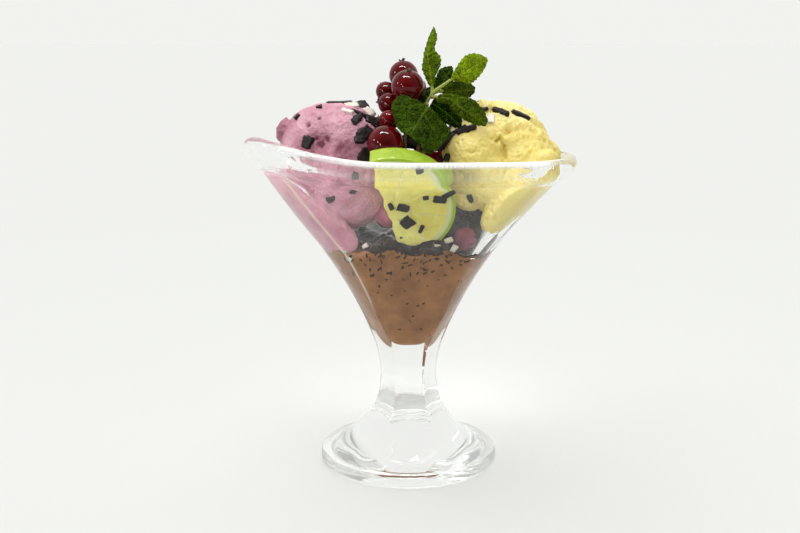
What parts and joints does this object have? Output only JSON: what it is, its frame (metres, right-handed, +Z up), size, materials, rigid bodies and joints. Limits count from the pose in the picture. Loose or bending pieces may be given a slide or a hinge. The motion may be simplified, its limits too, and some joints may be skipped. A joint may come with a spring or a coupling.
{
  "type": "ice cream sundae in a footed glass",
  "caption": "Ice cream sundae in a footed, three-cornered pressed-glass coupe: scoops over a chocolate base, with a slice of lime, red currants and a sprig of mint.",
  "frame": {"origin": "middle of the foot's flat underside, where the glass stands on a table", "axes": "+Z up along the stem, -Y towards the side with the slice of lime, +X to the right as one looks at that side"},
  "size_m": [0.1187, 0.1117, 0.167],
  "materials": {
    "clear_glass": "clear, polished, pressed",
    "chocolate_ice_cream": "stands in for ice cream, soft matt",
    "dark_chocolate": "stands in for chocolate sauce and flakes, glossy",
    "berry_ice_cream": "stands in for ice cream, soft matt",
    "yellow_ice_cream": "stands in for ice cream, soft matt",
    "lime": "stands in for fruit flesh, moist",
    "currant": "stands in for fruit skin, glossy",
    "stalk": "dry stalk",
    "mint_stem": "stands in for a fresh stem, satin",
    "mint_leaf": "stands in for a fresh leaf, satin"
  },
  "bodies": {
    "root": {"glass": "clear_glass", "chocolate_ice_cream": "chocolate_ice_cream", "dark_sauce": "dark_chocolate", "berry_ice_cream": "berry_ice_cream", "yellow_ice_cream": "yellow_ice_cream", "lime_slice": "lime", "currant_1": "currant", "currant_2": "currant", "currant_3": "currant", "currant_4": "currant", "currant_5": "currant", "currant_6": "currant", "currant_7": "currant", "currant_8": "currant", "currant_9": "currant", "currant_10": "currant", "currant_stalk": "stalk", "mint_stem": "mint_stem", "mint_leaf_upright": "mint_leaf", "mint_leaf_upper_right": "mint_leaf", "mint_leaf_back": "mint_leaf", "mint_leaf_middle": "mint_leaf", "mint_leaf_lower_right": "mint_leaf", "mint_leaf_lower": "mint_leaf", "mint_leaf_left": "mint_leaf", "mint_leaf_front": "mint_leaf"}
  },
  "joints": []
}
